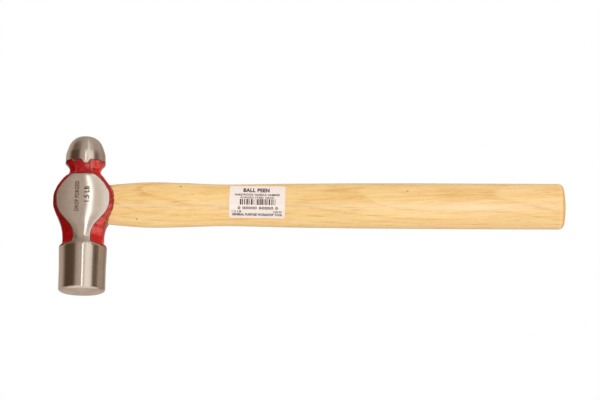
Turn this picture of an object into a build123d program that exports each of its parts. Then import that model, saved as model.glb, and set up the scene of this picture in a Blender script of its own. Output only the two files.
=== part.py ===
"""Ball peen hammer, 24 oz head on a wooden handle, as separate pieces.

Millimetres. +X runs along the handle to the butt, +Y along the head to the ball, and +Z out of the
upper cheek, so the hammer lies on its side as it does on a bench. The dimensions below are measured
from where the handle's axis crosses the head's axis. The exported pieces are measured from the
middle of the striking end's cylinder, on the head's axis.
"""

from build123d import *
from math import hypot, sqrt
import os

# A length that reaches clear of the head and of the handle in any direction across them.
REACH = 60.0

# ---- head: driving dimensions ----
BALL_TOP_Y = 51.6
BALL_RIM_Y = 33.4
BALL_RADIUS = 14.75
BALL_CLEARANCE_Y = 28.0
POLL_RADIUS = 17.15
POLL_SHOULDER_RADIUS = 17.6
POLL_TAPER_END_Y = -48.0
POLL_SHOULDER_Y = -30.2
POLL_SHOULDER_ROUND = 3.6
FACE_Y = -66.8
FACE_CROWN = 1.2
FACE_BEVEL_RADIAL = 2.2
FACE_BEVEL_AXIAL = 2.2
CHEEK = 15.0
SIDE_CROWN_SHARE = 0.04
CREST_SHARE = 0.2
EDGE_ROUND = 1.1
FORGED_STEPS = 54

# The forged middle of the head is an octagon that changes along Y; its corner facets stand at 45
# degrees. Each row gives, in mm: y, half width (X), half thickness (Z), half width of the ground
# cheek, and how far the cheek's crown drops at its edges. CREST_SHARE puts the crown's highest line
# a little towards the handle.
FORGED_STATIONS = (
    (53.0, 24.0, 24.0, 9.9, 0.8),
    (36.0, 17.6, 17.8, 7.2, 0.8),
    (31.2, 15.0, 15.2, 6.2, 0.8),
    (29.4, 13.2, 13.6, 5.8, 0.7),
    (27.4, 11.9, 12.0, 5.4, 0.6),
    (25.4, 11.3, 11.4, 5.3, 0.5),
    (23.2, 11.8, 11.6, 5.6, 0.5),
    (21.4, 13.0, 12.3, 6.6, 0.4),
    (20.2, 13.9, CHEEK - 0.5, 8.0, 0.5),
    (19.4, 14.4, CHEEK - 0.1, 9.3, 0.6),
    (16.7, 16.4, CHEEK, 12.6, 1.0),
    (11.2, 20.3, CHEEK, 17.2, 1.6),
    (4.2, 22.8, CHEEK, 19.6, 2.0),
    (-1.5, 23.0, CHEEK, 19.4, 2.0),
    (-7.7, 20.9, CHEEK, 17.3, 1.6),
    (-13.3, 18.0, CHEEK, 12.9, 1.1),
    (-17.9, 16.3, CHEEK - 0.4, 8.9, 0.8),
    (-21.9, 15.6, CHEEK - 0.9, 6.9, 0.6),
    (-26.5, 15.2, CHEEK - 0.8, 6.2, 0.6),
    (-29.8, 15.3, CHEEK + 0.6, 6.7, 0.9),
    (-32.4, 16.2, CHEEK + 2.3, 7.6, 1.5),
    (-35.0, 16.2, CHEEK + 2.3, 7.6, 1.5),
)

# ---- handle: driving dimensions ----
HANDLE_STEPS = 40
BUTT_X = 354.9
BUTT_CROWN_RADIUS = 120.0
BUTT_EDGE_ROUND = 3.8
TENON_END_RADIUS = 24.7
TENON_END_CENTRE = (2.9, 3.3)
# Oval sections along the handle: x, half width (Y), half thickness (Z), and how full the oval is
# (0.552 is an ellipse, more is squarer). The first is past the eye's far mouth, and the next four
# lie in the eye.
HANDLE_STATIONS = (
    (-32.0, 14.9, 9.7, 0.552),
    (-20.0, 14.2, 9.2, 0.552),
    (-8.0, 13.6, 8.7, 0.552),
    (2.0, 13.5, 8.6, 0.552),
    (14.3, 14.5, 9.1, 0.552),
    (25.1, 15.6, 9.8, 0.56),
    (33.7, 16.3, 10.3, 0.57),
    (42.3, 16.9, 10.7, 0.58),
    (51.5, 17.1, 10.9, 0.59),
    (69.2, 16.7, 10.9, 0.61),
    (81.0, 16.3, 10.8, 0.62),
    (92.8, 15.8, 10.6, 0.62),
    (106.0, 15.6, 10.6, 0.62),
    (127.5, 15.9, 10.8, 0.62),
    (151.0, 16.4, 11.1, 0.62),
    (169.3, 16.6, 11.4, 0.62),
    (200.0, 16.9, 11.8, 0.62),
    (261.0, 17.1, 12.0, 0.62),
    (360.0, 17.1, 12.1, 0.62),
)

# ---- wedges in the tenon ----
KERF_WIDTH = 1.2
KERF_END_X = 14.0
WOOD_WEDGE_TIP_X = 9.0
WOOD_WEDGE_TIP = 1.2
WOOD_WEDGE_THICKNESS = 3.9
STEEL_WEDGE_LENGTH = 18.5
STEEL_WEDGE_WIDTH = 13.0
STEEL_WEDGE_THICKNESS = 3.0
STEEL_WEDGE_TIP = 0.6
STEEL_WEDGE_BARBS = 3
STEEL_WEDGE_BARB_DEPTH = 0.3
STEEL_WEDGE_SUNK = 0.4
STEEL_WEDGE_PLACES = {"steel_wedge_ball_side": (7.0, 8.0), "steel_wedge_face_side": (-6.4, -11.0)}

# ---- label ----
LABEL_CENTRE = (127.7, 0.65)
LABEL_LENGTH = 40.9
LABEL_WIDTH = 24.5
LABEL_CORNER = 1.6
LABEL_THICKNESS = 0.12
LABEL_TURN = -1.0


def smoothed(rows, steps):
    """The rows resampled evenly by a cubic that never overshoots them."""
    rows = sorted(rows)
    count = len(rows)
    gaps = [rows[i + 1][0] - rows[i][0] for i in range(count - 1)]
    columns = []
    for column in range(1, len(rows[0])):
        values = [row[column] for row in rows]
        slopes = [(values[i + 1] - values[i]) / gaps[i] for i in range(count - 1)]
        tangents = [slopes[0]]
        for i in range(1, count - 1):
            if slopes[i - 1] * slopes[i] <= 0:
                tangents.append(0.0)
                continue
            before = 2 * gaps[i] + gaps[i - 1]
            after = gaps[i] + 2 * gaps[i - 1]
            tangents.append((before + after) / (before / slopes[i - 1] + after / slopes[i]))
        tangents.append(slopes[-1])
        columns.append((values, tangents))
    result = []
    for step in range(steps + 1):
        place = rows[0][0] + (rows[-1][0] - rows[0][0]) * step / steps
        i = max(k for k in range(count - 1) if rows[k][0] <= place)
        t = (place - rows[i][0]) / gaps[i]
        sample = [place]
        for values, tangents in columns:
            sample.append(
                values[i] * (1 + 2 * t) * (1 - t) ** 2
                + values[i + 1] * t * t * (3 - 2 * t)
                + gaps[i] * t * (1 - t) * (tangents[i] * (1 - t) - tangents[i + 1] * t)
            )
        result.append(sample)
    return result


def forged_section(y, half_width, half_thickness, cheek_half, crown):
    """One octagonal wire across the head, with crowned cheeks and eased corners."""
    side_x = half_width * (1 - SIDE_CROWN_SHARE)
    corner_z = {}
    side_z = {}
    for side in (1, -1):
        corner_z[side] = half_thickness - crown * (1 - side * CREST_SHARE) ** 2
        side_z[side] = corner_z[side] - (side_x - cheek_half)
    crest_x = CREST_SHARE * cheek_half
    corners = [
        (cheek_half, corner_z[1]),
        (side_x, side_z[1]),
        (side_x, -side_z[1]),
        (cheek_half, -corner_z[1]),
        (-cheek_half, -corner_z[-1]),
        (-side_x, -side_z[-1]),
        (-side_x, side_z[-1]),
        (-cheek_half, corner_z[-1]),
    ]
    crests = {
        1: (half_width, 0),
        3: (crest_x, -half_thickness),
        5: (-half_width, 0),
        7: (crest_x, half_thickness),
    }

    def eased(corner, towards):
        share = EDGE_ROUND / hypot(towards[0] - corner[0], towards[1] - corner[1])
        return tuple(corner[i] + share * (towards[i] - corner[i]) for i in (0, 1))

    def at(point):
        return (point[0], y, point[1])

    edges = []
    for i, corner in enumerate(corners):
        after = corners[(i + 1) % len(corners)]
        leave = eased(corner, after)
        arrive = eased(after, corner)
        edges.append(Bezier(at(eased(corner, corners[i - 1])), at(corner), at(leave)))
        if i in crests:
            edges.append(ThreePointArc(at(leave), at(crests[i]), at(arrive)))
        else:
            edges.append(Line(at(leave), at(arrive)))
    return Wire(edges)


def forging():
    """The octagonal forging, from inside the poll to beyond the ball."""
    return Solid.make_loft([forged_section(*row) for row in smoothed(FORGED_STATIONS, FORGED_STEPS)])


def ball_envelope():
    """The room that the ball is ground to: the dome, and clear of the forging below it."""
    clear = 2 * POLL_RADIUS
    profile = [
        Spline(
            (0, BALL_TOP_Y),
            (7.2, BALL_TOP_Y - 1.2),
            (11.5, BALL_TOP_Y - 5.4),
            (13.8, BALL_TOP_Y - 11.2),
            (BALL_RADIUS, BALL_RIM_Y),
            tangents=((1, 0), (0, -1)),
        ),
        Polyline(
            (BALL_RADIUS, BALL_RIM_Y),
            (BALL_RADIUS, BALL_CLEARANCE_Y),
            (clear, BALL_CLEARANCE_Y),
            (clear, FACE_Y),
            (0, FACE_Y),
            (0, BALL_TOP_Y),
        ),
    ]
    return revolve(make_face(profile), Axis.Y)


def poll():
    """The round striking end, with a rounded shoulder, a bevel and a slightly crowned face."""
    shoulder_flat = POLL_SHOULDER_RADIUS - POLL_SHOULDER_ROUND
    shoulder_end_y = POLL_SHOULDER_Y - POLL_SHOULDER_ROUND
    round_middle = POLL_SHOULDER_ROUND * (1 - 0.5**0.5)
    bevel_end_y = FACE_Y + FACE_CROWN
    bevel_start_y = bevel_end_y + FACE_BEVEL_AXIAL
    face_radius = POLL_RADIUS - FACE_BEVEL_RADIAL
    profile = [
        Polyline((0, FACE_Y), (0, POLL_SHOULDER_Y), (shoulder_flat, POLL_SHOULDER_Y)),
        ThreePointArc(
            (shoulder_flat, POLL_SHOULDER_Y),
            (POLL_SHOULDER_RADIUS - round_middle, POLL_SHOULDER_Y - round_middle),
            (POLL_SHOULDER_RADIUS, shoulder_end_y),
        ),
        Polyline(
            (POLL_SHOULDER_RADIUS, shoulder_end_y),
            (POLL_RADIUS, POLL_TAPER_END_Y),
            (POLL_RADIUS, bevel_start_y),
        ),
        Bezier(
            (POLL_RADIUS, bevel_start_y),
            (POLL_RADIUS, bevel_end_y + 0.3 * FACE_BEVEL_AXIAL),
            (face_radius, bevel_end_y),
        ),
        Bezier((face_radius, bevel_end_y), (face_radius / 2, FACE_Y), (0, FACE_Y)),
    ]
    return revolve(make_face(profile), Axis.Y)


def oval(x, half_y, half_z, fullness):
    """One closed oval across the handle, four curves that meet at its widest and thickest points."""
    ends = [(half_y, 0), (0, half_z), (-half_y, 0), (0, -half_z)]
    curves = []
    for i, (y, z) in enumerate(ends):
        next_y, next_z = ends[(i + 1) % 4]
        curves.append(
            Bezier(
                (x, y, z),
                (x, y + fullness * next_y, z + fullness * next_z),
                (x, next_y + fullness * y, next_z + fullness * z),
                (x, next_y, next_z),
            )
        )
    return Wire(curves)


def handle_envelope(grown_by=0.0):
    """The handle's smooth outside, from beyond the eye to beyond the butt."""
    sections = []
    for x, half_y, half_z, fullness in smoothed(HANDLE_STATIONS, HANDLE_STEPS):
        sections.append(oval(x, half_y + grown_by, half_z + grown_by, fullness))
    return Solid.make_loft(sections)


def handle_blank(envelope):
    """The handle cut to length: tenon end dressed to the boss, butt crowned and rounded over."""
    length = 2 * BUTT_X
    centre_x, centre_y = TENON_END_CENTRE
    tenon_room = Pos(centre_x, centre_y, 0) * Cylinder(TENON_END_RADIUS, REACH)
    shank_room = Pos(centre_x + length / 2, 0, 0) * Box(length, 2 * REACH, REACH)
    crown_x = BUTT_X - BUTT_CROWN_RADIUS
    crown_room = Pos(crown_x, 0, 0) * Sphere(BUTT_CROWN_RADIUS)
    inner_room = Pos(crown_x - length / 2, 0, 0) * Box(length, 2 * REACH, REACH)
    blank = envelope & (tenon_room + shank_room) & (crown_room + inner_room)
    crown_face = blank.faces().sort_by(Axis.X)[-1]
    return blank.fillet(BUTT_EDGE_ROUND, crown_face.edges())


def wood_wedge_blank():
    """The wooden wedge that opens the kerf, thick at the tenon's end and thin inside."""
    outer_x = -REACH / 2
    tenon_end_x = TENON_END_CENTRE[0] - TENON_END_RADIUS
    slope = (WOOD_WEDGE_THICKNESS - WOOD_WEDGE_TIP) / (WOOD_WEDGE_TIP_X - tenon_end_x)
    outer_half = (WOOD_WEDGE_TIP + slope * (WOOD_WEDGE_TIP_X - outer_x)) / 2
    tip_half = WOOD_WEDGE_TIP / 2
    outline = [
        (outer_x, -outer_half),
        (WOOD_WEDGE_TIP_X, -tip_half),
        (WOOD_WEDGE_TIP_X, tip_half),
        (outer_x, outer_half),
    ]
    face = Plane.XZ * make_face(Polyline(*outline, close=True))
    return extrude(face, REACH / 2, both=True)


def steel_wedge(place_y, turn, lengthened_by=0.0):
    """A barbed steel wedge driven across the wooden one, its outer end in the tenon's end."""
    centre_x, centre_y = TENON_END_CENTRE
    outer_x = centre_x - sqrt(TENON_END_RADIUS**2 - (place_y - centre_y) ** 2) + STEEL_WEDGE_SUNK
    barb_pitch = STEEL_WEDGE_LENGTH / (STEEL_WEDGE_BARBS + 2)
    slope = (STEEL_WEDGE_THICKNESS - STEEL_WEDGE_TIP) / 2 / STEEL_WEDGE_LENGTH
    flank = [(0, STEEL_WEDGE_THICKNESS / 2)]
    if lengthened_by:
        flank.insert(0, (-lengthened_by, STEEL_WEDGE_THICKNESS / 2))
    for barb in range(1, STEEL_WEDGE_BARBS + 1):
        along = barb * barb_pitch
        half = STEEL_WEDGE_THICKNESS / 2 - slope * along
        flank.append((along, half))
        flank.append((along, half - STEEL_WEDGE_BARB_DEPTH))
    flank.append((STEEL_WEDGE_LENGTH, STEEL_WEDGE_TIP / 2))
    outline = flank + [(x, -y) for x, y in reversed(flank)]
    wedge = extrude(make_face(Polyline(*outline, close=True)), STEEL_WEDGE_WIDTH / 2, both=True)
    return Pos(outer_x, place_y, 0) * Rot(turn, 0, 0) * wedge


def label_patch(envelope):
    """The paper label, wrapped over the upper side of the handle."""
    outline = Rot(0, 0, LABEL_TURN) * RectangleRounded(LABEL_LENGTH, LABEL_WIDTH, LABEL_CORNER)
    room = extrude(Pos(*LABEL_CENTRE, 0) * outline, REACH)
    return (handle_envelope(LABEL_THICKNESS) & room) - envelope


envelope = handle_envelope()
head = (forging() & ball_envelope()) + poll() - envelope

kerf_x = KERF_END_X - REACH / 2
kerf = Pos(kerf_x, 0, 0) * Box(REACH, 2 * REACH, KERF_WIDTH)
blank = handle_blank(envelope)
wood_wedge = wood_wedge_blank()
handle = blank - kerf - wood_wedge
wood_wedge = wood_wedge & blank
pieces = {}
for name, (place_y, turn) in STEEL_WEDGE_PLACES.items():
    pieces[name] = steel_wedge(place_y, turn)
    pocket = steel_wedge(place_y, turn, lengthened_by=REACH / 2)
    handle = handle - pocket
    wood_wedge = wood_wedge - pocket
pieces["hammer_head"] = head
pieces["handle"] = handle
pieces["wood_wedge"] = wood_wedge
pieces["handle_label"] = label_patch(envelope)

bevel_start_y = FACE_Y + FACE_CROWN + FACE_BEVEL_AXIAL
striking_end_y = (POLL_TAPER_END_Y + bevel_start_y) / 2
os.makedirs("parts", exist_ok=True)
for name, piece in pieces.items():
    export_step(Pos(0, -striking_end_y, 0) * piece, f"parts/{name}.step")
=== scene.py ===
# Looks of a ball peen hammer lying on its side: ground steel, red enamel, ash handle and paper label.
import math

import bmesh
import bpy
import numpy as np
from mathutils import Matrix, Vector, noise
from mathutils.bvhtree import BVHTree


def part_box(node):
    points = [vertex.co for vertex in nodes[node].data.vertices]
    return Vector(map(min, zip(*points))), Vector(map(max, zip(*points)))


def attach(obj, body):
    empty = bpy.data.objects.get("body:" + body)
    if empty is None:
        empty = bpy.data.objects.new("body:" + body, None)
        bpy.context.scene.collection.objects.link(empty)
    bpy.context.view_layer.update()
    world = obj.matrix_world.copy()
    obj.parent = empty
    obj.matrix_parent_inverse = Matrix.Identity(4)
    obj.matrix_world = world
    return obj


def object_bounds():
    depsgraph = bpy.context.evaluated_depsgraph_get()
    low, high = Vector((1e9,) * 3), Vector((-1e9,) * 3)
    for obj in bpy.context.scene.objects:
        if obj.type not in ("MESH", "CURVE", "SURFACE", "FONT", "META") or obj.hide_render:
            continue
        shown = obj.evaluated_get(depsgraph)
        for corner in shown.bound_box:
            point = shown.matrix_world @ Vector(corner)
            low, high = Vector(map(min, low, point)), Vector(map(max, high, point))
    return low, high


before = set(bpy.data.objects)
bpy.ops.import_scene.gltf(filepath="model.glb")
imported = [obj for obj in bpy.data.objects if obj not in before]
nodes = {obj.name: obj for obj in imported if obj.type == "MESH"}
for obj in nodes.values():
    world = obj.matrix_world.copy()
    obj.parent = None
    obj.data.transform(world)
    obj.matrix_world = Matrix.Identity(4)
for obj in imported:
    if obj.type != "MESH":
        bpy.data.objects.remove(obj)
size_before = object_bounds()
MM = 0.001
SEED = 7

head_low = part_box("hammer_head")[0]
handle_low, handle_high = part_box("handle")
label_low, label_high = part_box("handle_label")
box_middle = (size_before[0] + size_before[1]) / 2
handle_axis_y = (handle_low.y + handle_high.y) / 2

# The highlight painted along the handle, as if its varnish mirrored a thin lamp: where it sits, and where its
# core and its soft edge end.
LINE_RISE = math.radians(1.0)
LINE_CORE = math.radians(1.5)
LINE_SOFT = math.radians(9.5)


# ---------------------------------------------------------------- node trees
class Graph:
    """Adds nodes to a tree. A value given to a method is a socket of the tree, a number, tuple or colour."""

    def __init__(self, tree):
        self.tree = tree

    def feed(self, socket, value):
        if isinstance(value, bpy.types.NodeSocket):
            self.tree.links.new(value, socket)
        else:
            socket.default_value = value

    def node(self, kind, settings=None, **inputs):
        made = self.tree.nodes.new(kind)
        for key, value in (settings or {}).items():
            setattr(made, key, value)
        for key, value in inputs.items():
            self.feed(made.inputs[key.replace("_", " ")], value)
        return made

    def math(self, operation, a, b=0.0, clamp=False):
        made = self.tree.nodes.new("ShaderNodeMath")
        made.operation = operation
        made.use_clamp = clamp
        self.feed(made.inputs[0], a)
        if len(made.inputs) > 1:
            self.feed(made.inputs[1], b)
        return made.outputs[0]

    def vector(self, operation, a, b=(0.0, 0.0, 0.0)):
        made = self.tree.nodes.new("ShaderNodeVectorMath")
        made.operation = operation
        self.feed(made.inputs[0], a)
        self.feed(made.inputs[1], b)
        return made.outputs["Value" if operation in ("LENGTH", "DOT_PRODUCT") else "Vector"]

    def split(self, vector):
        made = self.node("ShaderNodeSeparateXYZ", Vector=vector)
        return made.outputs[0], made.outputs[1], made.outputs[2]

    def join(self, x, y, z):
        return self.node("ShaderNodeCombineXYZ", X=x, Y=y, Z=z).outputs[0]

    def step(self, value, low, high):
        """0 below low, 1 above high, eased between them. high may be the smaller one."""
        made = self.node("ShaderNodeMapRange", {"interpolation_type": "SMOOTHSTEP"}, Value=value)
        flipped = high < low
        made.inputs["From Min"].default_value = min(low, high)
        made.inputs["From Max"].default_value = max(low, high)
        made.inputs["To Min"].default_value = 1.0 if flipped else 0.0
        made.inputs["To Max"].default_value = 0.0 if flipped else 1.0
        return made.outputs["Result"]

    def colour_mix(self, factor, a, b, blend="MIX"):
        made = self.tree.nodes.new("ShaderNodeMix")
        made.data_type = "RGBA"
        made.blend_type = blend
        self.feed(made.inputs[0], factor)
        self.feed(made.inputs[6], a)
        self.feed(made.inputs[7], b)
        return made.outputs[2]

    def blend(self, factor, a, b):
        made = self.tree.nodes.new("ShaderNodeMix")
        self.feed(made.inputs[0], factor)
        self.feed(made.inputs[2], a)
        self.feed(made.inputs[3], b)
        return made.outputs[0]

    def vector_blend(self, factor, a, b):
        made = self.tree.nodes.new("ShaderNodeMix")
        made.data_type = "VECTOR"
        self.feed(made.inputs[0], factor)
        self.feed(made.inputs[4], a)
        self.feed(made.inputs[5], b)
        return made.outputs[1]

    def ramp(self, value, stops, interpolation="LINEAR"):
        made = self.node("ShaderNodeValToRGB", Fac=value)
        made.color_ramp.interpolation = interpolation
        marks = made.color_ramp.elements
        while len(marks) < len(stops):
            marks.new(0.5)
        for mark, (place, colour) in zip(marks, stops):
            mark.position = place
            mark.color = (*colour, 1.0)
        return made.outputs["Color"]

    def noise(self, vector, scale, detail=2.0, roughness=0.5, distortion=0.0):
        made = self.node(
            "ShaderNodeTexNoise",
            Vector=vector, Scale=scale, Detail=detail, Roughness=roughness, Distortion=distortion,
        )
        return made.outputs["Fac"]

    def bump(self, height, distance, strength=1.0, normal=None):
        made = self.node("ShaderNodeBump", Height=height, Distance=distance, Strength=strength)
        if normal is not None:
            self.feed(made.inputs["Normal"], normal)
        return made.outputs["Normal"]

    def rounded(self, reach):
        """The surface normal, evened out over reach, so that edges and seams look round."""
        return self.node("ShaderNodeBevel", {"samples": 8}, Radius=reach).outputs["Normal"]

    def value(self, name):
        return self.node("ShaderNodeAttribute", {"attribute_name": name}).outputs["Fac"]


def mirrored(g, normal):
    """The way in which the surface mirrors the viewer's look, as x, y and z."""
    incoming = g.node("ShaderNodeNewGeometry").outputs["Incoming"]
    return g.split(g.vector("REFLECT", g.vector("MULTIPLY", incoming, (-1.0, -1.0, -1.0)), normal))


def painted_line_highlight(g, normal):
    """1 where a highlight is painted on the varnish, as if it mirrored a long thin lamp along the handle, 0
    elsewhere.
    """
    x, y, z = mirrored(g, normal)
    rise = g.math("ARCTAN2", y, g.math("MAXIMUM", z, 0.0001))
    off = g.math("ABSOLUTE", g.math("SUBTRACT", rise, LINE_RISE))
    line = g.math("MULTIPLY", g.step(off, LINE_SOFT, LINE_CORE), g.step(z, 0.2, 0.4))
    return g.math("MULTIPLY", line, g.step(g.math("ABSOLUTE", x), 0.34, 0.22))


def new_material(name):
    made = bpy.data.materials.new(name)
    made.use_nodes = True
    made.node_tree.nodes.clear()
    g = Graph(made.node_tree)
    place = g.node("ShaderNodeTexCoord").outputs["Object"]
    return made, g, place


def surface(g, **inputs):
    """Ends a material with one Principled surface."""
    made = g.node("ShaderNodeBsdfPrincipled", **inputs)
    end = g.node("ShaderNodeOutputMaterial")
    g.tree.links.new(made.outputs[0], end.inputs["Surface"])
    return made


def dress(obj, material):
    obj.data.materials.clear()
    obj.data.materials.append(material)


# ---------------------------------------------------------------- ground steel
STEEL = (0.66, 0.625, 0.56)
CHEEK_LEAN = 0.072
CHEEK_TOP_Y = 76.1 * MM
RIM_REACH = 1.8 * MM
CHEEK_FLAT_Z = (10.5 * MM, 12.5 * MM)
CHEEK_FOOT_Y = (27.5 * MM, 31.0 * MM)
LEAN_GROWS_Y = (33.0 * MM, 44.0 * MM)
LOWER_NECK_LEAN = 0.028
BALL_STARTS_Y = (CHEEK_TOP_Y + 7.0 * MM, CHEEK_TOP_Y + 9.0 * MM)


def steel_tangent(g, place):
    """How grinding smears a reflection: along the head's axis, and outwards from the centre on the face."""
    x, y, z = g.split(place)
    on_face = g.step(y, head_low.y + 0.6 * MM, head_low.y + 0.3 * MM)
    radial = g.join(x, 0.0, z)
    return g.vector_blend(on_face, (0.0, 1.0, 0.0), g.vector("NORMALIZE", radial)), on_face


def cheek_normal(g, place):
    """Ground cheeks lean towards the handle, less on the lower neck. Their rims and the ball look rounded."""
    x, y, z = g.split(place)
    flat = g.step(g.math("ABSOLUTE", z), *CHEEK_FLAT_Z)
    flat = g.math("MULTIPLY", flat, g.step(y, *CHEEK_FOOT_Y))
    flat = g.math("MULTIPLY", flat, g.step(y, CHEEK_TOP_Y + 1.0 * MM, CHEEK_TOP_Y))
    lean = g.blend(g.step(y, *LEAN_GROWS_Y), LOWER_NECK_LEAN, CHEEK_LEAN)
    normal = g.node("ShaderNodeNewGeometry").outputs["Normal"]
    ball = g.step(y, *BALL_STARTS_Y)
    normal = g.vector_blend(g.math("MAXIMUM", flat, ball), normal, g.rounded(RIM_REACH))
    return g.vector("NORMALIZE", g.vector("ADD", normal, g.join(g.math("MULTIPLY", flat, lean), 0.0, 0.0)))


def steel_material(name):
    made, g, place = new_material(name)
    x, y, z = g.split(place)
    tangent, on_face = steel_tangent(g, place)
    around = g.math("ARCTAN2", x, z)
    reach = g.vector("LENGTH", g.join(x, 0.0, z))
    rings = g.join(g.math("MULTIPLY", around, 0.004), y, g.math("MULTIPLY", reach, 0.2))
    spokes = g.join(g.math("MULTIPLY", around, 0.0006), 0.0, reach)
    lines = g.blend(on_face, g.noise(rings, 2600.0, 4.0, 0.6), g.noise(spokes, 2600.0, 4.0, 0.6))
    slant = g.vector("MULTIPLY", place, (60.0, 1300.0, 300.0))
    scratches = g.noise(slant, 1.0, 4.0, 0.65, 0.4)
    cloud = g.noise(place, 140.0, 3.0, 0.55)
    tone = g.math("ADD", g.math("MULTIPLY", lines, 0.35), g.math("MULTIPLY", scratches, 0.25))
    tone = g.math("ADD", tone, g.math("MULTIPLY", cloud, 0.4))
    colour = g.ramp(tone, [(0.25, (0.58, 0.545, 0.485)), (0.5, STEEL), (0.78, (0.72, 0.69, 0.63))])
    rough = g.math("ADD", 0.17, g.math("MULTIPLY", tone, 0.08))
    height = g.math("ADD", lines, scratches)
    surface(
        g, Base_Color=colour, Metallic=1.0, Roughness=rough, Anisotropic=1.0, Tangent=tangent,
        Normal=g.bump(height, 0.002 * MM, 0.4, cheek_normal(g, place)),
    )
    return made


# ---------------------------------------------------------------- enamel
ENAMEL_REDS = ((0.3, (0.30, 0.0005, 0.002)), (0.5, (0.44, 0.001, 0.003)), (0.75, (0.56, 0.004, 0.005)))


def enamel_material():
    made, g, place = new_material("red_enamel")
    drips = g.noise(place, 230.0, 3.0, 0.5)
    grain = g.noise(place, 1500.0, 2.0, 0.5)
    red = g.ramp(drips, ENAMEL_REDS)
    # Painted shade: the enamel is darkened near its edges and beside the eye, broken up by fine noise.
    edge_shade = g.math("MULTIPLY", g.value("edge_shade"), g.math("ADD", 0.45, g.math("MULTIPLY", grain, 0.9), True))
    red = g.colour_mix(g.math("MULTIPLY", edge_shade, 0.9, True), red, (0.075, 0.012, 0.009, 1.0))
    worn = g.math("ADD", g.noise(place, 1100.0, 3.0, 0.65), g.math("MULTIPLY", g.value("wear"), 0.36))
    bare = g.step(worn, 0.74, 0.82)
    rust = g.step(g.noise(place, 1700.0, 2.0, 0.6), 0.42, 0.58)
    metal = g.colour_mix(rust, (0.13, 0.05, 0.035, 1.0), (0.56, 0.40, 0.36, 1.0))
    colour = g.colour_mix(g.math("MULTIPLY", bare, 0.85), red, metal)
    normal = g.node("ShaderNodeNewGeometry").outputs["Normal"]
    nz = g.split(normal)[2]
    corner = g.step(g.math("ABSOLUTE", nz), 0.3, 0.6)
    towards = g.math("MULTIPLY", g.math("SIGN", nz), g.math("MULTIPLY", corner, 0.4))
    rounder = g.vector("NORMALIZE", g.vector("ADD", normal, g.join(0.0, 0.0, towards)))
    height = g.math("ADD", g.math("MULTIPLY", drips, 0.7), g.math("MULTIPLY", grain, 0.035))
    height = g.math("SUBTRACT", height, g.math("MULTIPLY", bare, 0.2))
    rough = g.math("ADD", g.math("MULTIPLY", g.noise(place, 420.0, 2.0), 0.14), 0.07)
    rough = g.math("ADD", rough, g.math("MULTIPLY", bare, 0.3))
    bumped = g.bump(height, 0.35 * MM, 0.7, rounder)
    # Painted highlight: pink light is mixed into the enamel's colour where the bumped surface mirrors the
    # studio towards the butt and upwards, broken up by noise.
    mx, my, mz = mirrored(g, bumped)
    glow = g.math("MULTIPLY", g.step(my, 0.28, -0.05), g.step(mz, -0.04, 0.22))
    glow = g.math("MULTIPLY", glow, g.step(mx, -0.25, 0.50))
    broken = g.step(g.noise(place, 420.0, 2.0, 0.5), 0.34, 0.62)
    glow = g.math("MULTIPLY", glow, g.math("ADD", 0.05, g.math("MULTIPLY", broken, 0.15)))
    colour = g.colour_mix(glow, colour, (1.2, 0.44, 0.38, 1.0))
    surface(
        g, Base_Color=colour, Metallic=g.math("MULTIPLY", bare, 0.5), Roughness=rough, IOR=1.5, Normal=bumped
    )
    return made


# ---------------------------------------------------------------- wood
PITH_Y = 41.0 * MM
PITH_Z = -45.0 * MM
PITH_LEAN = 0.03
RING_STEP = 2.6 * MM
LATE_WOOD = ((0.0, (0.0,) * 3), (0.60, (0.0,) * 3), (0.88, (1.0,) * 3), (0.94, (0.9,) * 3), (1.0, (0.0,) * 3))


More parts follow.
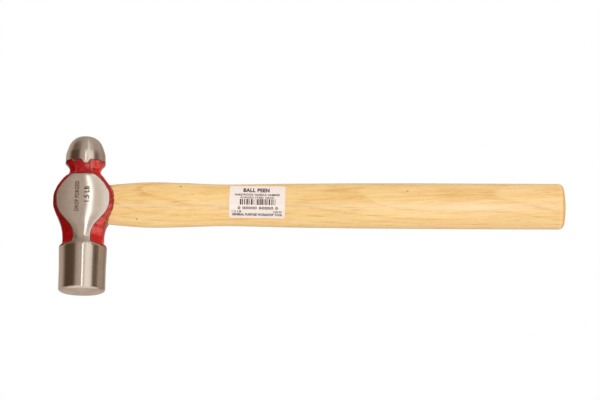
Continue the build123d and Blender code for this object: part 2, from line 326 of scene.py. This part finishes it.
def wood_material(name, tint=(1.0, 1.0, 1.0)):
    """Flat-sawn ash. Its growth rings are tubes round a pith that runs below the handle and leans."""
    made, g, place = new_material(name)
    x, y, z = g.split(place)
    sway = g.noise(g.vector("MULTIPLY", place, (9.0, 32.0, 32.0)), 1.0, 2.0, 0.5)
    sway = g.math("MULTIPLY", g.math("SUBTRACT", sway, 0.5), 6.0 * MM)
    across = g.math("ADD", g.math("SUBTRACT", y, PITH_Y), sway)
    depth = g.math("ADD", g.math("SUBTRACT", z, PITH_Z), g.math("MULTIPLY", x, PITH_LEAN))
    ring_reach = g.vector("LENGTH", g.join(0.0, across, g.math("ADD", depth, sway)))
    ring_at = g.math("FRACT", g.math("DIVIDE", ring_reach, RING_STEP))
    late_wood = g.ramp(ring_at, LATE_WOOD)
    grain_place = g.join(x, g.math("SUBTRACT", y, g.math("MULTIPLY", x, 0.03)), z)
    fibre = g.noise(g.vector("MULTIPLY", grain_place, (42.0, 900.0, 900.0)), 1.0, 4.0, 0.8)
    bands = g.noise(g.vector("MULTIPLY", grain_place, (16.0, 330.0, 330.0)), 1.0, 3.0, 0.55)
    cloud = g.noise(g.vector("MULTIPLY", place, (10.0, 35.0, 35.0)), 1.0, 2.0)
    dashes = g.noise(g.vector("MULTIPLY", grain_place, (95.0, 1150.0, 1150.0)), 1.0, 2.0, 0.5)
    dashes = g.step(dashes, 0.60, 0.70)
    dashes = g.math("MULTIPLY", dashes, g.math("ADD", 0.4, g.math("MULTIPLY", late_wood, 0.6)))
    cells = g.node("ShaderNodeTexVoronoi", Vector=g.vector("MULTIPLY", place, (70.0, 110.0, 60.0)), Scale=1.0)
    speck = g.step(cells.outputs["Distance"], 0.085, 0.04)
    speck = g.math("MULTIPLY", speck, g.step(g.split(cells.outputs["Color"])[0], 0.45, 0.50))
    tone = g.math("ADD", g.math("MULTIPLY", fibre, 0.80), g.math("MULTIPLY", bands, 0.30))
    tone = g.math("SUBTRACT", tone, g.math("MULTIPLY", late_wood, 0.10))
    tone = g.math("ADD", tone, g.math("MULTIPLY", g.math("SUBTRACT", cloud, 0.5), 0.25))
    dark = tuple(a * b for a, b in zip((0.70, 0.38, 0.085), tint))
    mid = tuple(a * b for a, b in zip((0.90, 0.655, 0.255), tint))
    pale = tuple(a * b for a, b in zip((0.97, 0.785, 0.420), tint))
    colour = g.ramp(tone, [(0.26, dark), (0.51, mid), (0.74, pale)])
    colour = g.colour_mix(g.math("MULTIPLY", dashes, 0.6), colour, (0.58, 0.27, 0.055, 1.0))
    colour = g.colour_mix(g.math("MULTIPLY", speck, 0.75), colour, (0.20, 0.085, 0.03, 1.0))
    # Painted light: the wood turns paler towards the butt, as if more light fell there.
    painted_light_toward_butt = g.step(x, 180.0 * MM, 340.0 * MM)
    colour = g.colour_mix(g.math("MULTIPLY", painted_light_toward_butt, 0.20), colour, (1.0, 0.76, 0.40, 1.0))
    # The butt's end grain is darker, and it is darkened further as painted shade against the strong side
    # light on its rounded end.
    end_grain_and_shade = g.step(x, handle_high.x - 4.0 * MM, handle_high.x - 1.5 * MM)
    colour = g.colour_mix(g.math("MULTIPLY", end_grain_and_shade, 0.8), colour, (0.52, 0.30, 0.095, 1.0))
    height = g.math("SUBTRACT", g.math("MULTIPLY", fibre, 0.5), dashes)
    rough = g.math("ADD", 0.42, g.math("MULTIPLY", fibre, 0.2))
    bumped = g.bump(height, 0.05 * MM, 0.5, g.rounded(2.5 * MM))
    # Painted highlight: a pale streak is mixed into the wood's colour where the varnish would mirror a thin
    # lamp along the handle.
    uneven = g.step(g.noise(g.vector("MULTIPLY", place, (45.0, 160.0, 160.0)), 1.0, 3.0, 0.7), 0.30, 0.62)
    painted_shine = g.math("MULTIPLY", painted_line_highlight(g, bumped), g.math("ADD", 0.08, g.math("MULTIPLY", uneven, 0.12)))
    colour = g.colour_mix(painted_shine, colour, (0.97, 0.97, 0.98, 1.0))
    surface(
        g, Base_Color=colour, Roughness=rough, IOR=1.45, Coat_Weight=1.0, Coat_Roughness=0.10, Coat_IOR=1.5,
        Normal=bumped,
    )
    return made


# ---------------------------------------------------------------- paper, print, small metal
def paper_material():
    made, g, place = new_material("label_paper")
    fibres = g.noise(place, 1800.0, 4.0, 0.6)
    cloud = g.noise(place, 120.0, 2.0)
    tone = g.math("ADD", g.math("MULTIPLY", fibres, 0.5), g.math("MULTIPLY", cloud, 0.5))
    colour = g.ramp(tone, [(0.3, (0.88, 0.865, 0.85)), (0.7, (0.94, 0.93, 0.92))])
    bumped = g.bump(g.math("ADD", fibres, g.math("MULTIPLY", cloud, 3.0)), 0.02 * MM, 0.4)
    # Painted highlight: the label's colour is whitened where its coat would mirror the thin lamp along the
    # handle.
    colour = g.colour_mix(g.math("MULTIPLY", painted_line_highlight(g, bumped), 0.5), colour, (1.0, 1.0, 1.0, 1.0))
    surface(
        g, Base_Color=colour, Roughness=0.55, IOR=1.45, Coat_Weight=0.25, Coat_Roughness=0.15,
        Normal=bumped,
    )
    return made


def ink_material(name, low, high, scale):
    made, g, place = new_material(name)
    speck = g.noise(place, scale, 3.0, 0.6)
    colour = g.ramp(speck, [(0.35, low), (0.65, high)])
    surface(g, Base_Color=colour, Roughness=g.math("ADD", 0.5, g.math("MULTIPLY", speck, 0.2)), IOR=1.3)
    return made


def wedge_steel_material():
    made, g, place = new_material("wedge_steel")
    scale = g.noise(place, 700.0, 4.0, 0.65)
    colour = g.ramp(scale, [(0.3, (0.20, 0.18, 0.16)), (0.6, (0.46, 0.43, 0.39)), (0.8, (0.6, 0.57, 0.52))])
    surface(
        g, Base_Color=colour, Metallic=0.9, Roughness=g.math("ADD", 0.3, g.math("MULTIPLY", scale, 0.25)),
        Normal=g.bump(scale, 0.08 * MM, 0.6),
    )
    return made


# ---------------------------------------------------------------- meshes
def mesh_piece(name, points, faces, material, smooth=True):
    mesh = bpy.data.meshes.new(name)
    mesh.from_pydata([tuple(p) for p in points], [], faces)
    mesh.update()
    if smooth:
        mesh.polygons.foreach_set("use_smooth", [True] * len(mesh.polygons))
    obj = bpy.data.objects.new(name, mesh)
    bpy.context.scene.collection.objects.link(obj)
    dress(obj, material)
    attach(obj, "root")
    return obj


def tree_of(node):
    mesh = nodes[node].data
    mesh.calc_loop_triangles()
    points = [v.co.copy() for v in mesh.vertices]
    return BVHTree.FromPolygons(points, [tuple(t.vertices) for t in mesh.loop_triangles], all_triangles=True)


# Enamel: a thin closed skin over the forged surfaces. Rows run round the head at one y each. In every
# quarter of a row the columns are shared out between the cheek, the corner facet and the side, so that
# the facet edges lie on columns.
ROW_STEP = 0.42 * MM
SHOULDER_Y = 22.2 * MM
BALL_RIM_Y = 89.1 * MM
COLUMNS = (20, 22, 26)
RAYS = 360
CHEEK_TILT = math.radians(27.0)
SIDE_TILT = math.radians(67.5)
COAT = 0.10 * MM
EYE_OVERLAP = 1.3 * MM
EYE_SIDE_X = 10.0 * MM
FAR_FROM_EYE = 20.0 * MM
EDGE_HEIGHT = 0.02 * MM
RIDGE_FOOT_Y = 77.0 * MM
RIDGE_HEIGHT = 11.0 * MM
head_tree = tree_of("hammer_head")


def row_places():
    places = []
    y = SHOULDER_Y
    while y < BALL_RIM_Y:
        places.append(y)
        steep = y < SHOULDER_Y + 7.0 * MM or y > BALL_RIM_Y - 6.0 * MM
        y += ROW_STEP * (0.4 if steep else 1.0)
    places.append(BALL_RIM_Y)
    return places


def quarter_outline(y, sign_x, sign_z):
    """Points of one quarter of the head's outline at y, from the cheek's middle to the side's middle."""
    found = []
    for k in range(RAYS + 1):
        angle = math.pi / 2 * k / RAYS
        way = Vector((sign_x * math.sin(angle), 0.0, sign_z * math.cos(angle)))
        start = Vector((0.0, y, 0.0)) + way * 0.06
        place, normal, _, _ = head_tree.ray_cast(start, -way, 0.055)
        if place is not None and normal.dot(way) > 0.05:
            found.append((angle, place))
        else:
            found.append((angle, None))
    last_x = max(abs(p.x) for _, p in found if p is not None)
    filled = []
    for angle, place in found:
        if place is None:
            depth = last_x / max(math.tan(angle), 1e-6) if angle < math.pi / 2 - 1e-6 else 0.0
            place = Vector((sign_x * last_x, y, sign_z * depth))
        filled.append(place)
    return np.array(filled)


def quarter_columns(outline, sign_x, sign_z):
    """Resamples a quarter outline, and gives each point's distance along it past the cheek's edge."""
    steps = np.linalg.norm(np.diff(outline, axis=0), axis=1)
    along = np.concatenate([[0.0], np.cumsum(steps)])
    fine = np.linspace(0.0, along[-1], 600)
    points = np.stack([np.interp(fine, along, outline[:, i]) for i in range(3)], axis=1)
    window = 9
    kernel = np.ones(window) / window
    delta = np.gradient(points, axis=0)
    dx = np.convolve(np.abs(np.pad(delta[:, 0], window // 2, mode="edge")), kernel, mode="valid")
    dz = np.convolve(np.abs(np.pad(delta[:, 2], window // 2, mode="edge")), kernel, mode="valid")
    tilt = np.maximum.accumulate(np.arctan2(dz, dx))
    cheek_end = np.interp(CHEEK_TILT, tilt, fine)
    corner_end = max(np.interp(SIDE_TILT, tilt, fine), cheek_end + 0.5 * MM)
    corner_end = min(corner_end, along[-1] - 0.5 * MM)
    parts = []
    for low, high, count in zip((0.0, cheek_end, corner_end), (cheek_end, corner_end, along[-1]), COLUMNS):
        parts.append(np.linspace(low, high, count, endpoint=False))
    places = np.concatenate(parts + [[along[-1]]])
    made = np.stack([np.interp(places, fine, points[:, i]) for i in range(3)], axis=1)
    return made, places - cheek_end


def enamel_grid():
    rows, edges = [], []
    for y in row_places():
        ring, past = [], []
        for sign_x, sign_z, reverse in ((1, 1, False), (1, -1, True), (-1, -1, False), (-1, 1, True)):
            outline = quarter_outline(y, sign_x, sign_z)
            points, distance = quarter_columns(outline, sign_x, sign_z)
            if reverse:
                points, distance = points[::-1], distance[::-1]
            ring.append(points[:-1])
            past.append(distance[:-1])
        rows.append(np.concatenate(ring))
        edges.append(np.concatenate(past))
    return np.array(rows), np.array(edges)


def eye_outline():
    """Half height and half depth of the handle where it enters the head."""
    mouth_x = 20.0 * MM
    near = [v.co for v in nodes["handle"].data.vertices if abs(v.co.x - mouth_x) < 4.0 * MM]
    return max(abs(p.y - handle_axis_y) for p in near), max(abs(p.z) for p in near)


def ragged(point, scale, seed):
    """Smooth noise between about -1 and 1 at a point in metres."""
    return noise.noise(Vector(point) * scale + Vector((seed, 2.0 * seed, 3.0 * seed)))


SCALLOPS = (
    (7.0, 2.5, 10.0), (-27.0, 1.4, 4.5), (62.0, 0.9, 5.0), (105.0, 1.8, 6.0), (150.0, 1.1, 5.0),
    (-78.0, 1.5, 6.0), (-120.0, 0.9, 4.0), (-160.0, 1.9, 7.0),
)


def scalloped_rim(x, z):
    """Where the enamel stops under the ball. A scallop: angle, depth in mm, half width in degrees."""
    angle = math.degrees(math.atan2(x, z))
    height = 88.6 - 1.5 * max(0.0, math.cos(math.radians(angle)))
    for middle, depth, width in SCALLOPS:
        off = (angle - middle + 180.0) % 360.0 - 180.0
        height -= depth * math.exp(-((off / width) ** 4))
    return height * MM


def enamel_piece(material):
    grid, past_edge = enamel_grid()
    row_count, column_count = grid.shape[:2]
    eye_half_y, eye_half_z = eye_outline()
    down = np.gradient(grid, axis=0)
    across = (np.roll(grid, -1, axis=1) - np.roll(grid, 1, axis=1)) / 2
    normals = np.cross(down, across)
    normals /= np.linalg.norm(normals, axis=2)[..., None] + 1e-12
    outward = grid * np.array([1.0, 0.0, 1.0])
    flip = np.sign((normals * outward).sum(axis=2))
    normals *= np.where(flip == 0, 1, flip)[..., None]
    mask = np.zeros((row_count, column_count))
    lift = np.zeros((row_count, column_count))
    wear = np.zeros((row_count, column_count))
    edge_shade = np.zeros((row_count, column_count))
    for i in range(row_count):
        for j in range(column_count):
            x, y, z = grid[i, j]
            over = (0.22 + 0.70 * min(1.0, max(0.0, y / MM / 10.0 - 5.6))) * MM
            edge = past_edge[i, j] + over + 0.16 * MM * ragged((x, y, z), 700.0, 1.0)
            edge += 0.10 * MM * ragged((x, y, z), 2400.0, 2.0)
            neck = (y - CHEEK_TOP_Y) + 0.3 * MM * ragged((x, y, z), 350.0, 3.0)
            painted = max(edge, neck)
            turn = min(1.0, max(0.0, (math.degrees(math.atan2(abs(x), abs(z))) - 20.0) / 34.0))
            shoulder = y - (24.6 - 2.1 * turn) * MM + 0.25 * MM * ragged((x, y, z), 500.0, 4.0)
            ball = scalloped_rim(x, z) - y + 0.22 * MM * ragged((x, y, z), 500.0, 5.0)
            hole = math.hypot((y - handle_axis_y) / eye_half_y, z / eye_half_z) - 1.0
            by_side = abs(x) > EYE_SIDE_X
            hole = hole * eye_half_z + EYE_OVERLAP if by_side else FAR_FROM_EYE
            mask[i, j] = min(painted, shoulder, ball, hole)
            fade = min(1.0, max(0.0, mask[i, j] / (0.5 * MM)))
            fade = fade * fade * (3.0 - 2.0 * fade)
            lumps = 0.10 * MM * ragged((x, y, z), 330.0, 7.0) + 0.04 * MM * ragged((x, y, z), 900.0, 8.0)
            lift[i, j] = EDGE_HEIGHT + fade * (COAT + lumps)
            up = (y - RIDGE_FOOT_Y) / RIDGE_HEIGHT
            ridge_at = (2.6 * up - 0.3) * MM if x < 0.0 else (0.5 - 1.3 * up) * MM
            wear[i, j] = math.exp(-(((past_edge[i, j] - ridge_at) / (0.7 * MM)) ** 2)) if up > 0.0 else 0.0
            # Painted shade along the enamel's edges and beside the eye, where the handle enters.
            edge_shade[i, j] = math.exp(-((max(mask[i, j], 0.0) / (1.15 * MM)) ** 2))
            shade_by_eye = 0.7 * math.exp(-((max(hole, 0.0) / (6.0 * MM)) ** 2)) if by_side else 0.0
            edge_shade[i, j] = max(edge_shade[i, j], shade_by_eye)
    return clipped_skin("neck_enamel", grid, normals, mask, lift, {"wear": wear, "edge_shade": edge_shade}, material)


def clipped_skin(name, grid, normals, mask, lift, layers, material):
    """Keeps the part of a grid round the head where mask is above 0, as a thin closed skin."""
    row_count, column_count = mask.shape
    points, heights, order = [], [], {}
    carried = {key: [] for key in layers}

    def corner(i, j):
        key = (i, j)
        if key not in order:
            order[key] = len(points)
            points.append((grid[i, j], normals[i, j]))
            heights.append(lift[i, j])
            for key_name, layer in layers.items():
                carried[key_name].append(layer[i, j])
        return order[key]

    def crossing(a, b):
        key = (min(a, b), max(a, b))
        if key not in order:
            (i, j), (k, m) = key
            t = mask[i, j] / (mask[i, j] - mask[k, m])
            order[key] = len(points)
            place = grid[i, j] * (1 - t) + grid[k, m] * t
            points.append((place, normals[i, j] * (1 - t) + normals[k, m] * t))
            heights.append(EDGE_HEIGHT)
            for key_name, layer in layers.items():
                carried[key_name].append(layer[i, j] * (1 - t) + layer[k, m] * t)
        return order[key]

    top = []
    for i in range(row_count - 1):
        for j in range(column_count):
            following = (j + 1) % column_count
            square = [(i, j), (i, following), (i + 1, following), (i + 1, j)]
            if all(mask[c] > 0 for c in square):
                top.append([corner(*c) for c in square])
                continue
            for triangle in ((square[0], square[1], square[2]), (square[0], square[2], square[3])):
                face = []
                for a, b in zip(triangle, triangle[1:] + triangle[:1]):
                    if mask[a] > 0:
                        face.append(corner(*a))
                    if (mask[a] > 0) != (mask[b] > 0):
                        face.append(crossing(a, b))
                if len(face) > 2:
                    top.append(face)
    count = len(points)
    outer = [p + n * h for (p, n), h in zip(points, heights)]
    inner = [p - n * 0.06 * MM for p, n in points]
    used = {}
    for face in top:
        for a, b in zip(face, face[1:] + face[:1]):
            used[(a, b)] = True
    walls = [[a, b] for a, b in used if (b, a) not in used]
    faces = top + [[v + count for v in reversed(face)] for face in top]
    faces += [[b, a, a + count, b + count] for a, b in walls]
    obj = mesh_piece(name, outer + inner, faces, material)
    for key_name, values in carried.items():
        attribute = obj.data.attributes.new(key_name, "FLOAT", "POINT")
        attribute.data.foreach_set("value", np.array(values + values, np.float32))
    return obj


def lettering(text, width, height, weight=0.0):
    """A flat mesh of a line of text: points in metres with the line's middle at the origin, and its faces."""
    curve = bpy.data.curves.new("line", "FONT")
    curve.body = text
    curve.align_x = "CENTER"
    curve.align_y = "CENTER"
    curve.space_character = 1.1
    curve.offset = weight
    curve.resolution_u = 3
    obj = bpy.data.objects.new("line", curve)
    bpy.context.scene.collection.objects.link(obj)
    bpy.context.view_layer.update()
    mesh = bpy.data.meshes.new_from_object(obj.evaluated_get(bpy.context.evaluated_depsgraph_get()))
    points = np.array([v.co for v in mesh.vertices])
    faces = [list(p.vertices) for p in mesh.polygons]
    bpy.data.objects.remove(obj)
    low, high = points.min(axis=0), points.max(axis=0)
    points = (points - (low + high) / 2)[:, :2]
    return points * np.array([width, height]) / (high - low)[:2], faces


def refined(points, faces, longest):
    """Cuts a flat mesh into triangles with no edge much over longest, to follow a curved surface."""
    sheet = bmesh.new()
    corners = [sheet.verts.new((float(p[0]), float(p[1]), 0.0)) for p in points]
    for face in faces:
        if len(set(face)) > 2:
            sheet.faces.new([corners[v] for v in face])
    bmesh.ops.remove_doubles(sheet, verts=sheet.verts, dist=1e-6)
    bmesh.ops.triangulate(sheet, faces=sheet.faces)
    for _ in range(8):
        long_edges = [e for e in sheet.edges if e.calc_length() > longest]
        if not long_edges:
            break
        bmesh.ops.subdivide_edges(sheet, edges=long_edges, cuts=1)
        bmesh.ops.triangulate(sheet, faces=sheet.faces)
    sheet.verts.index_update()
    made = [(v.co.x, v.co.y) for v in sheet.verts]
    made_faces = [[v.index for v in f.verts] for f in sheet.faces]
    sheet.free()
    return made, made_faces


def printed(name, shapes, tree, material, raised, sunk=0.04 * MM):
    """Joins flat shapes, lays them on the surface of tree from above and makes them thin solids."""
    points, faces = [], []
    for flat_points, flat_faces in shapes:
        shape_points, shape_faces = refined(flat_points, flat_faces, 0.6 * MM)
        welded, index = {}, []
        for p in shape_points:
            key = (round(float(p[0]) / 1e-6), round(float(p[1]) / 1e-6))
            if key not in welded:
                welded[key] = len(points)
                points.append((float(p[0]), float(p[1])))
            index.append(welded[key])
        for face in shape_faces:
            made = [index[v] for v in face]
            made = [v for k, v in enumerate(made) if v != made[k - 1]]
            if len(set(made)) > 2:
                faces.append(made)
    placed = []
    for x, y in points:
        hit, _, _, _ = tree.ray_cast(Vector((x, y, 0.1)), Vector((0.0, 0.0, -1.0)))
        placed.append(Vector((x, y, hit.z)))
    lift = Vector((0.0, 0.0, raised))
    drop = Vector((0.0, 0.0, sunk))
    count = len(placed)
    turned = []
    for face in faces:
        area = sum(
            points[a][0] * points[b][1] - points[b][0] * points[a][1]
            for a, b in zip(face, face[1:] + face[:1])
        )
        turned.append(face if area > 0 else face[::-1])
    used = {(a, b) for face in turned for a, b in zip(face, face[1:] + face[:1])}
    walls = [[b, a, a + count, b + count] for a, b in used if (b, a) not in used]
    solid = turned + [[v + count for v in reversed(face)] for face in turned] + sorted(walls)
    both_sides = [p + lift for p in placed] + [p - drop for p in placed]
    return mesh_piece(name, both_sides, solid, material, False)


# ---------------------------------------------------------------- cheek marks
def cheek_marks(material):
    shapes = []
    for text, width, height, middle_x, middle_y in (
        ("DROP FORGED", 22.5 * MM, 3.2 * MM, -4.1 * MM, 58.7 * MM),
        ("1.5 LB", 11.8 * MM, 4.0 * MM, 3.2 * MM, 60.2 * MM),
    ):
        flat, faces = lettering(text, width, height, 0.035)
        turned = np.stack([middle_x - flat[:, 1], middle_y + flat[:, 0]], axis=1)
        shapes.append((turned, faces))
    return printed("cheek_etching", shapes, head_tree, material, 0.03 * MM)


# ---------------------------------------------------------------- label print
LABEL_TURN = math.radians(-1.0)
LABEL_SIZE = (40.9 * MM, 24.5 * MM)


def label_print(material):
    middle = (label_low + label_high) / 2
    turn = Matrix.Rotation(LABEL_TURN, 2)
    shapes = []

    def place(flat, across, down):
        """Moves flat points to a share of the label's width from its left and of its height from its top."""
        spot = np.array([(across - 0.5) * LABEL_SIZE[0], (0.5 - down) * LABEL_SIZE[1]])
        out = []
        for p in flat + spot:
            q = turn @ Vector((float(p[0]), float(p[1])))
            out.append((middle.x + q.x, middle.y + q.y))
        return np.array(out)

    # Each line: text, width and height as shares of the label, middle from the left and from the top, weight.
    lines = (
        ("BALL PEEN", 0.47, 0.135, 0.485, 0.155, 0.05),
        ("HARDWOOD HANDLE HAMMER", 0.81, 0.072, 0.505, 0.305, 0.035),
        ("FORGED STEEL HEAD", 0.60, 0.058, 0.505, 0.395, 0.03),
        ("0 00000 00000 0", 0.72, 0.085, 0.515, 0.715, 0.03),
        ("1.5 LB", 0.17, 0.055, 0.135, 0.82, 0.03),
        ("0.68 KG", 0.15, 0.055, 0.87, 0.82, 0.03),
        ("GENERAL PURPOSE WORKSHOP TOOL", 0.90, 0.072, 0.505, 0.905, 0.05),
    )
    for text, width, height, across, down, weight in lines:
        flat, faces = lettering(text, width * LABEL_SIZE[0], height * LABEL_SIZE[1], weight)
        shapes.append((place(flat, across, down), faces))
    draw = np.random.default_rng(SEED)
    at = 0.19
    while at < 0.83:
        width = draw.choice((0.006, 0.010, 0.018, 0.026))
        half = np.array([width * LABEL_SIZE[0] / 2, 0.09 * LABEL_SIZE[1]])
        corners = np.array([(-1, -1), (1, -1), (1, 1), (-1, 1)]) * half
        shapes.append((place(corners, at + width / 2, 0.53), [[0, 1, 2, 3]]))
        at += width + draw.choice((0.008, 0.012, 0.022))
    return printed("label_print", shapes, tree_of("handle_label"), material, 0.035 * MM)


# ---------------------------------------------------------------- bead at the eye
def eye_bead(material):
    """A ragged dark bead where the handle enters the head: partly old finish, partly a dark ring standing in
    for the shade in the gap.
    """
    handle_tree = tree_of("handle")
    around, ring = 220, 8
    points, faces = [], []
    for i in range(around):
        angle = 2 * math.pi * i / around
        way = Vector((0.0, math.cos(angle), math.sin(angle)))
        side_x = 0.0
        for probe in np.linspace(26.0, 12.0, 57):
            start = Vector((probe * MM, handle_axis_y, 0.0)) + way * 0.04
            hit, _, _, _ = handle_tree.ray_cast(start, -way, 0.04)
            nearby = head_tree.find_nearest(hit + way * 0.2 * MM)
            if nearby[0] is not None and nearby[3] < 0.45 * MM:
                side_x = probe * MM
                break
        hit, _, _, _ = handle_tree.ray_cast(Vector((side_x, handle_axis_y, 0.0)) + way * 0.04, -way, 0.04)
        rough = ragged(tuple(way * 0.02), 260.0, 9.0) + 0.5 * ragged(tuple(way * 0.02), 900.0, 10.0)
        size = (0.16 + 0.20 * rough) * MM
        size = max(size, 0.05 * MM)
        for k in range(ring):
            turn = 2 * math.pi * k / ring
            outwards = way * (0.05 * MM + size * 0.8 * math.cos(turn))
            points.append(hit + outwards + Vector((size * math.sin(turn), 0, 0)))
    for i in range(around):
        for k in range(ring):
            a = i * ring + k
            b = i * ring + (k + 1) % ring
            c = ((i + 1) % around) * ring + (k + 1) % ring
            d = ((i + 1) % around) * ring + k
            faces.append([a, b, c, d])
    return mesh_piece("eye_bead", points, faces, material)


# ---------------------------------------------------------------- dressing
head_steel = steel_material("head_steel")
enamel = enamel_material()
handle_wood = wood_material("handle_wood")
wedge_wood = wood_material("wedge_wood", (0.9, 0.85, 0.78))
paper = paper_material()
wedge_steel = wedge_steel_material()
etching = ink_material("etching_brown", (0.065, 0.034, 0.012), (0.18, 0.10, 0.038), 2500.0)
print_ink = ink_material("print_ink", (0.055, 0.038, 0.035), (0.12, 0.09, 0.085), 3000.0)
# Dark bead at the eye: partly dried finish, partly painted shade of the gap between handle and head.
finish_and_gap_shade = ink_material("finish_and_gap_shade", (0.05, 0.010, 0.004), (0.24, 0.020, 0.010), 900.0)

for node_name, material in (
    ("hammer_head", head_steel),
    ("handle", handle_wood),
    ("wood_wedge", wedge_wood),
    ("steel_wedge_ball_side", wedge_steel),
    ("steel_wedge_face_side", wedge_steel),
    ("handle_label", paper),
):
    dress(nodes[node_name], material)

enamel_piece(enamel)
cheek_marks(etching)
label_print(print_ink)
eye_bead(finish_and_gap_shade)


# ---------------------------------------------------------------- light
WARM = (1.0, 0.88, 0.81)
STRIP = 5.0
ROOM_LEVEL = 0.1
STOP_STEP = 12
# Soft boxes round the head's axis: middle and half width in degrees from straight above towards the
# butt, and level.
SOFT_BOXES = (
    (35, 20, 1.1),
    (-5, 25, 0.5),
    (110, 25, 0.35),
    (-120, 25, 0.45),
    (180, 40, 0.5),
)


def box_level(angle):
    """Brightness of the studio at an angle. A soft box fades out over half its width on either side."""
    level = ROOM_LEVEL
    for middle, half_width, strength in SOFT_BOXES:
        off = abs((angle - middle + 180.0) % 360.0 - 180.0)
        level += strength * math.exp(-((off / half_width) ** 4))
    return level


def light_colour(level):
    """Dark parts of the studio are browner than its lamps."""
    share = min(1.0, max(0.0, level - 0.08)) ** 0.55
    dark, light = (1.0, 0.58, 0.34), (1.0, 0.90, 0.85)
    return tuple(level / 1.3 * (a + (b - a) * share) for a, b in zip(dark, light))


def studio():
    world = bpy.data.worlds.new("studio")
    bpy.context.scene.world = world
    world.use_nodes = True
    world.node_tree.nodes.clear()
    world.cycles.sampling_method = "NONE"
    g = Graph(world.node_tree)
    way = g.node("ShaderNodeTexCoord").outputs["Generated"]
    x, y, z = g.split(way)
    turn = g.math("DIVIDE", g.math("ARCTAN2", x, z), 2 * math.pi)
    turn = g.math("ADD", turn, 0.5)
    angles = range(-180, 181, STOP_STEP)
    stops = [(0.5 + angle / 360.0, light_colour(box_level(angle))) for angle in angles]
    lamps = g.ramp(turn, stops, "EASE")
    strip_lean = g.math("MULTIPLY", g.math("MAXIMUM", g.math("SUBTRACT", y, 0.32), 0.0), 55.0 / 360.0)
    strip_at = g.math("ADD", 0.5 + STRIP / 360.0, strip_lean)
    strip_off = g.math("ABSOLUTE", g.math("SUBTRACT", turn, strip_at))
    strip = g.step(strip_off, 3.2 / 360.0, 1.6 / 360.0)
    far = g.step(g.math("ADD", y, g.math("MULTIPLY", x, 0.25)), 0.38, 0.98)
    far_glow = g.colour_mix(g.step(x, -0.1, 0.35), (0.38, 0.31, 0.265, 1.0), (0.43, 0.36, 0.315, 1.0))
    lamps = g.colour_mix(far, lamps, far_glow)
    lamps = g.colour_mix(g.math("MULTIPLY", strip, g.blend(far, 1.0, 0.35)), lamps, (2.0, 1.96, 1.92, 1.0))
    near = g.step(y, -0.55, -0.90)
    lamps = g.colour_mix(near, lamps, (0.80, 0.71, 0.65, 1.0))
    above = g.step(z, -0.15, 0.1)
    side = g.math("ADD", 1.0, g.math("MULTIPLY", x, 0.9))
    even = g.math("MULTIPLY", side, g.blend(above, 0.62, 1.06))
    soft = g.vector("MULTIPLY", g.join(even, even, even), WARM)
    path = g.node("ShaderNodeLightPath").outputs
    seen = g.colour_mix(path["Is Glossy Ray"], soft, g.vector("MULTIPLY", lamps, (1.3, 1.3, 1.3)))
    seen = g.colour_mix(path["Is Camera Ray"], seen, (1.0, 1.0, 1.0, 1.0))
    back = g.node("ShaderNodeBackground", Color=seen, Strength=1.0)
    end = g.node("ShaderNodeOutputWorld")
    g.tree.links.new(back.outputs[0], end.inputs["Surface"])


def floor():
    """A white sweep of paper that glows evenly. When it's seen from low down, it shows a painted soft shade
    under the hammer, made from occlusion.
    """
    level = size_before[0].z - 0.05 * MM
    reach = 6.0
    mesh = bpy.data.meshes.new("floor")
    corners = [(-reach, -reach, level), (reach, -reach, level), (reach, reach, level), (-reach, reach, level)]
    mesh.from_pydata(corners, [], [(0, 1, 2, 3)])
    obj = bpy.data.objects.new("floor", mesh)
    bpy.context.scene.collection.objects.link(obj)
    made, g, _ = new_material("floor_paper")
    ambient = g.node("ShaderNodeAmbientOcclusion", {"samples": 8}, Distance=0.05).outputs["AO"]
    incoming = g.node("ShaderNodeNewGeometry").outputs["Incoming"]
    low_view = g.step(g.split(incoming)[2], 0.85, 0.55)
    shade = g.blend(low_view, 1.0, g.blend(0.6, 1.0, ambient))
    colour = g.vector("MULTIPLY", g.join(shade, shade, shade), (1.0, 1.0, 1.0))
    glow = g.node("ShaderNodeEmission", Color=colour, Strength=1.0)
    end = g.node("ShaderNodeOutputMaterial")
    g.tree.links.new(glow.outputs[0], end.inputs["Surface"])
    dress(obj, made)
    obj.visible_glossy = False
    obj.visible_diffuse = False


# ---------------------------------------------------------------- camera
VIEW_TILT = math.radians(14.3)
VIEW_LEAN = math.radians(-0.57)
VIEW_ROLL = math.radians(0.11)
VIEW_DISTANCE = 1.352
VIEW_SPAN = 0.444
AIM_FROM_MIDDLE = Vector((-7.2 * MM, 11.9 * MM, 0.0))


def camera():
    aim = Vector((box_middle.x, box_middle.y, 0.0)) + AIM_FROM_MIDDLE
    back = Vector((
        math.sin(VIEW_LEAN) * math.cos(VIEW_TILT),
        -math.sin(VIEW_TILT),
        math.cos(VIEW_TILT) * math.cos(VIEW_LEAN),
    )).normalized()
    right = Vector((0.0, 1.0, 0.0)).cross(back).normalized()
    up = back.cross(right)
    turned_right = math.cos(VIEW_ROLL) * right + math.sin(VIEW_ROLL) * up
    turned_up = -math.sin(VIEW_ROLL) * right + math.cos(VIEW_ROLL) * up
    data = bpy.data.cameras.new("camera")
    data.sensor_fit = "HORIZONTAL"
    data.sensor_width = 36.0
    data.lens = data.sensor_width * VIEW_DISTANCE / VIEW_SPAN
    obj = bpy.data.objects.new("camera", data)
    bpy.context.scene.collection.objects.link(obj)
    spin = Matrix((turned_right, turned_up, back)).transposed().to_4x4()
    obj.matrix_world = Matrix.Translation(aim + back * VIEW_DISTANCE) @ spin
    bpy.context.scene.camera = obj


studio()
floor()
camera()
bpy.context.scene.view_settings.view_transform = "Standard"
